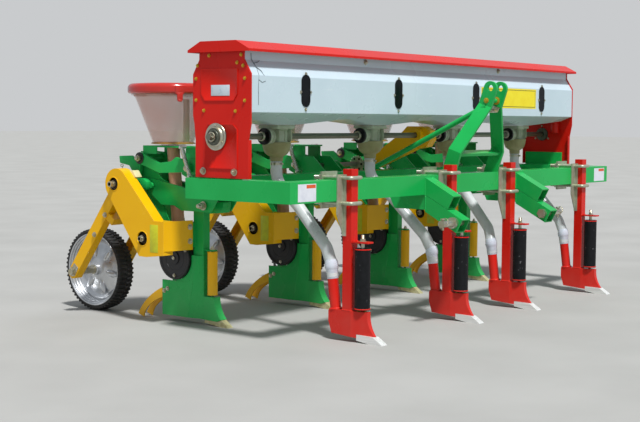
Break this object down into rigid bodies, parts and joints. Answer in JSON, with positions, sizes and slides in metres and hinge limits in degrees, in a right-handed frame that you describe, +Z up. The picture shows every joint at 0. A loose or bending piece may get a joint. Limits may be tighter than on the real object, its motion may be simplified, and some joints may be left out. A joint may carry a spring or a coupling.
{
  "type": "mounted row seed drill",
  "caption": "Tractor-mounted row drill with fertiliser box, hoe shanks, hopper seed units and press wheels on a tube frame.",
  "frame": {"origin": "on the ground below the middle of the machine's width and length", "axes": "+X across the machine, so that -X is the side of the lone stay and -Y points to the tractor, +Y to the press wheels and +Z up"},
  "size_m": [2.47, 1.57, 1.066],
  "materials": {
    "green_paint": "gloss enamel",
    "red_paint": "gloss enamel",
    "yellow_paint": "gloss enamel",
    "white_paint": "satin enamel",
    "zinc": "zinc plated",
    "hub_metal": "as cast",
    "rim_silver": "silver paint",
    "point_steel": "ground bright",
    "brass_point": "yellow passivated",
    "black_rubber": "matt",
    "tyre_rubber": "matt",
    "black_plastic": "matt",
    "hopper_plastic": "clear, reddish",
    "lid_plastic": "gloss",
    "hose_plastic": "clear, milky"
  },
  "bodies": {
    "frame": {"frame_beams": "green_paint", "hitch_mast": "green_paint", "hitch_arms": "green_paint", "hitch_pins": "zinc", "fertiliser_box": "white_paint", "lid_hinges": "zinc", "level_windows": "black_plastic", "box_end_near": "red_paint", "box_end_far": "red_paint", "shaft_bearings": "zinc", "feeders": "hub_metal", "fertiliser_shanks": "red_paint", "shank_points": "point_steel", "shank_clamps": "zinc", "hoses": "hose_plastic", "unit_links": "green_paint", "unit_frames": "green_paint", "hopper_tables": "green_paint", "seed_hoppers": "hopper_plastic", "seed_meters": "black_plastic", "openers": "green_paint", "opener_points": "brass_point", "coverers": "yellow_paint", "chain_cases": "yellow_paint", "unit_shafts": "zinc", "wheel_arms": "yellow_paint", "drive_case": "yellow_paint"},
    "box_lid": {"box_lid": "red_paint"},
    "feed_shaft": {"feed_shaft": "zinc"},
    "wheel_1": {"rim_1": "rim_silver", "tyre_1": "tyre_rubber"},
    "hopper_lid_1": {"hopper_lid_1": "lid_plastic"},
    "opener_roller_1": {"opener_roller_1": "yellow_paint"},
    "wheel_2": {"rim_2": "rim_silver", "tyre_2": "tyre_rubber"},
    "hopper_lid_2": {"hopper_lid_2": "lid_plastic"},
    "opener_roller_2": {"opener_roller_2": "yellow_paint"},
    "wheel_3": {"rim_3": "rim_silver", "tyre_3": "tyre_rubber"},
    "hopper_lid_3": {"hopper_lid_3": "lid_plastic"},
    "opener_roller_3": {"opener_roller_3": "yellow_paint"},
    "wheel_4": {"rim_4": "rim_silver", "tyre_4": "tyre_rubber"},
    "hopper_lid_4": {"hopper_lid_4": "lid_plastic"},
    "opener_roller_4": {"opener_roller_4": "yellow_paint"},
    "shank_roller_1": {"shank_roller_1": "black_rubber"},
    "shank_roller_2": {"shank_roller_2": "black_rubber"},
    "shank_roller_3": {"shank_roller_3": "black_rubber"},
    "shank_roller_4": {"shank_roller_4": "black_rubber"}
  },
  "joints": [
    {"name": "box_lid_hinge", "type": "hinge", "parent": "frame", "child": "box_lid", "pos_m": [0, -0.129, 1.021], "axis": [-1, 0, 0], "range_deg": [0, 95]},
    {"name": "feed_shaft_turn", "type": "hinge", "parent": "frame", "child": "feed_shaft", "pos_m": [0, -0.263, 0.729], "axis": [1, 0, 0], "continuous": true},
    {"name": "wheel_1_turn", "type": "hinge", "parent": "frame", "child": "wheel_1", "pos_m": [-0.96, 0.615, 0.17], "axis": [1, 0, 0], "continuous": true},
    {"name": "hopper_lid_1_hinge", "type": "hinge", "parent": "frame", "child": "hopper_lid_1", "pos_m": [-0.96, 0.371, 0.885], "axis": [-1, 0, 0], "range_deg": [0, 100]},
    {"name": "opener_roller_1_turn", "type": "hinge", "parent": "frame", "child": "opener_roller_1", "pos_m": [-0.96, -0.027, 0.2], "axis": [0, 0, 1], "continuous": true},
    {"name": "wheel_2_turn", "type": "hinge", "parent": "frame", "child": "wheel_2", "pos_m": [-0.32, 0.615, 0.17], "axis": [1, 0, 0], "continuous": true},
    {"name": "hopper_lid_2_hinge", "type": "hinge", "parent": "frame", "child": "hopper_lid_2", "pos_m": [-0.32, 0.371, 0.885], "axis": [-1, 0, 0], "range_deg": [0, 100]},
    {"name": "opener_roller_2_turn", "type": "hinge", "parent": "frame", "child": "opener_roller_2", "pos_m": [-0.32, -0.027, 0.2], "axis": [0, 0, 1], "continuous": true},
    {"name": "wheel_3_turn", "type": "hinge", "parent": "frame", "child": "wheel_3", "pos_m": [0.335, 0.615, 0.17], "axis": [1, 0, 0], "continuous": true},
    {"name": "hopper_lid_3_hinge", "type": "hinge", "parent": "frame", "child": "hopper_lid_3", "pos_m": [0.335, 0.371, 0.885], "axis": [-1, 0, 0], "range_deg": [0, 100]},
    {"name": "opener_roller_3_turn", "type": "hinge", "parent": "frame", "child": "opener_roller_3", "pos_m": [0.335, -0.027, 0.2], "axis": [0, 0, 1], "continuous": true},
    {"name": "wheel_4_turn", "type": "hinge", "parent": "frame", "child": "wheel_4", "pos_m": [0.935, 0.615, 0.17], "axis": [1, 0, 0], "continuous": true},
    {"name": "hopper_lid_4_hinge", "type": "hinge", "parent": "frame", "child": "hopper_lid_4", "pos_m": [0.935, 0.371, 0.885], "axis": [-1, 0, 0], "range_deg": [0, 100]},
    {"name": "opener_roller_4_turn", "type": "hinge", "parent": "frame", "child": "opener_roller_4", "pos_m": [0.935, -0.027, 0.2], "axis": [0, 0, 1], "continuous": true},
    {"name": "shank_roller_1_turn", "type": "hinge", "parent": "frame", "child": "shank_roller_1", "pos_m": [-0.886, -0.687, 0.228], "axis": [0, 0, 1], "continuous": true},
    {"name": "shank_roller_2_turn", "type": "hinge", "parent": "frame", "child": "shank_roller_2", "pos_m": [-0.231, -0.687, 0.228], "axis": [0, 0, 1], "continuous": true},
    {"name": "shank_roller_3_turn", "type": "hinge", "parent": "frame", "child": "shank_roller_3", "pos_m": [0.231, -0.687, 0.228], "axis": [0, 0, 1], "continuous": true},
    {"name": "shank_roller_4_turn", "type": "hinge", "parent": "frame", "child": "shank_roller_4", "pos_m": [0.886, -0.687, 0.228], "axis": [0, 0, 1], "continuous": true}
  ]
}
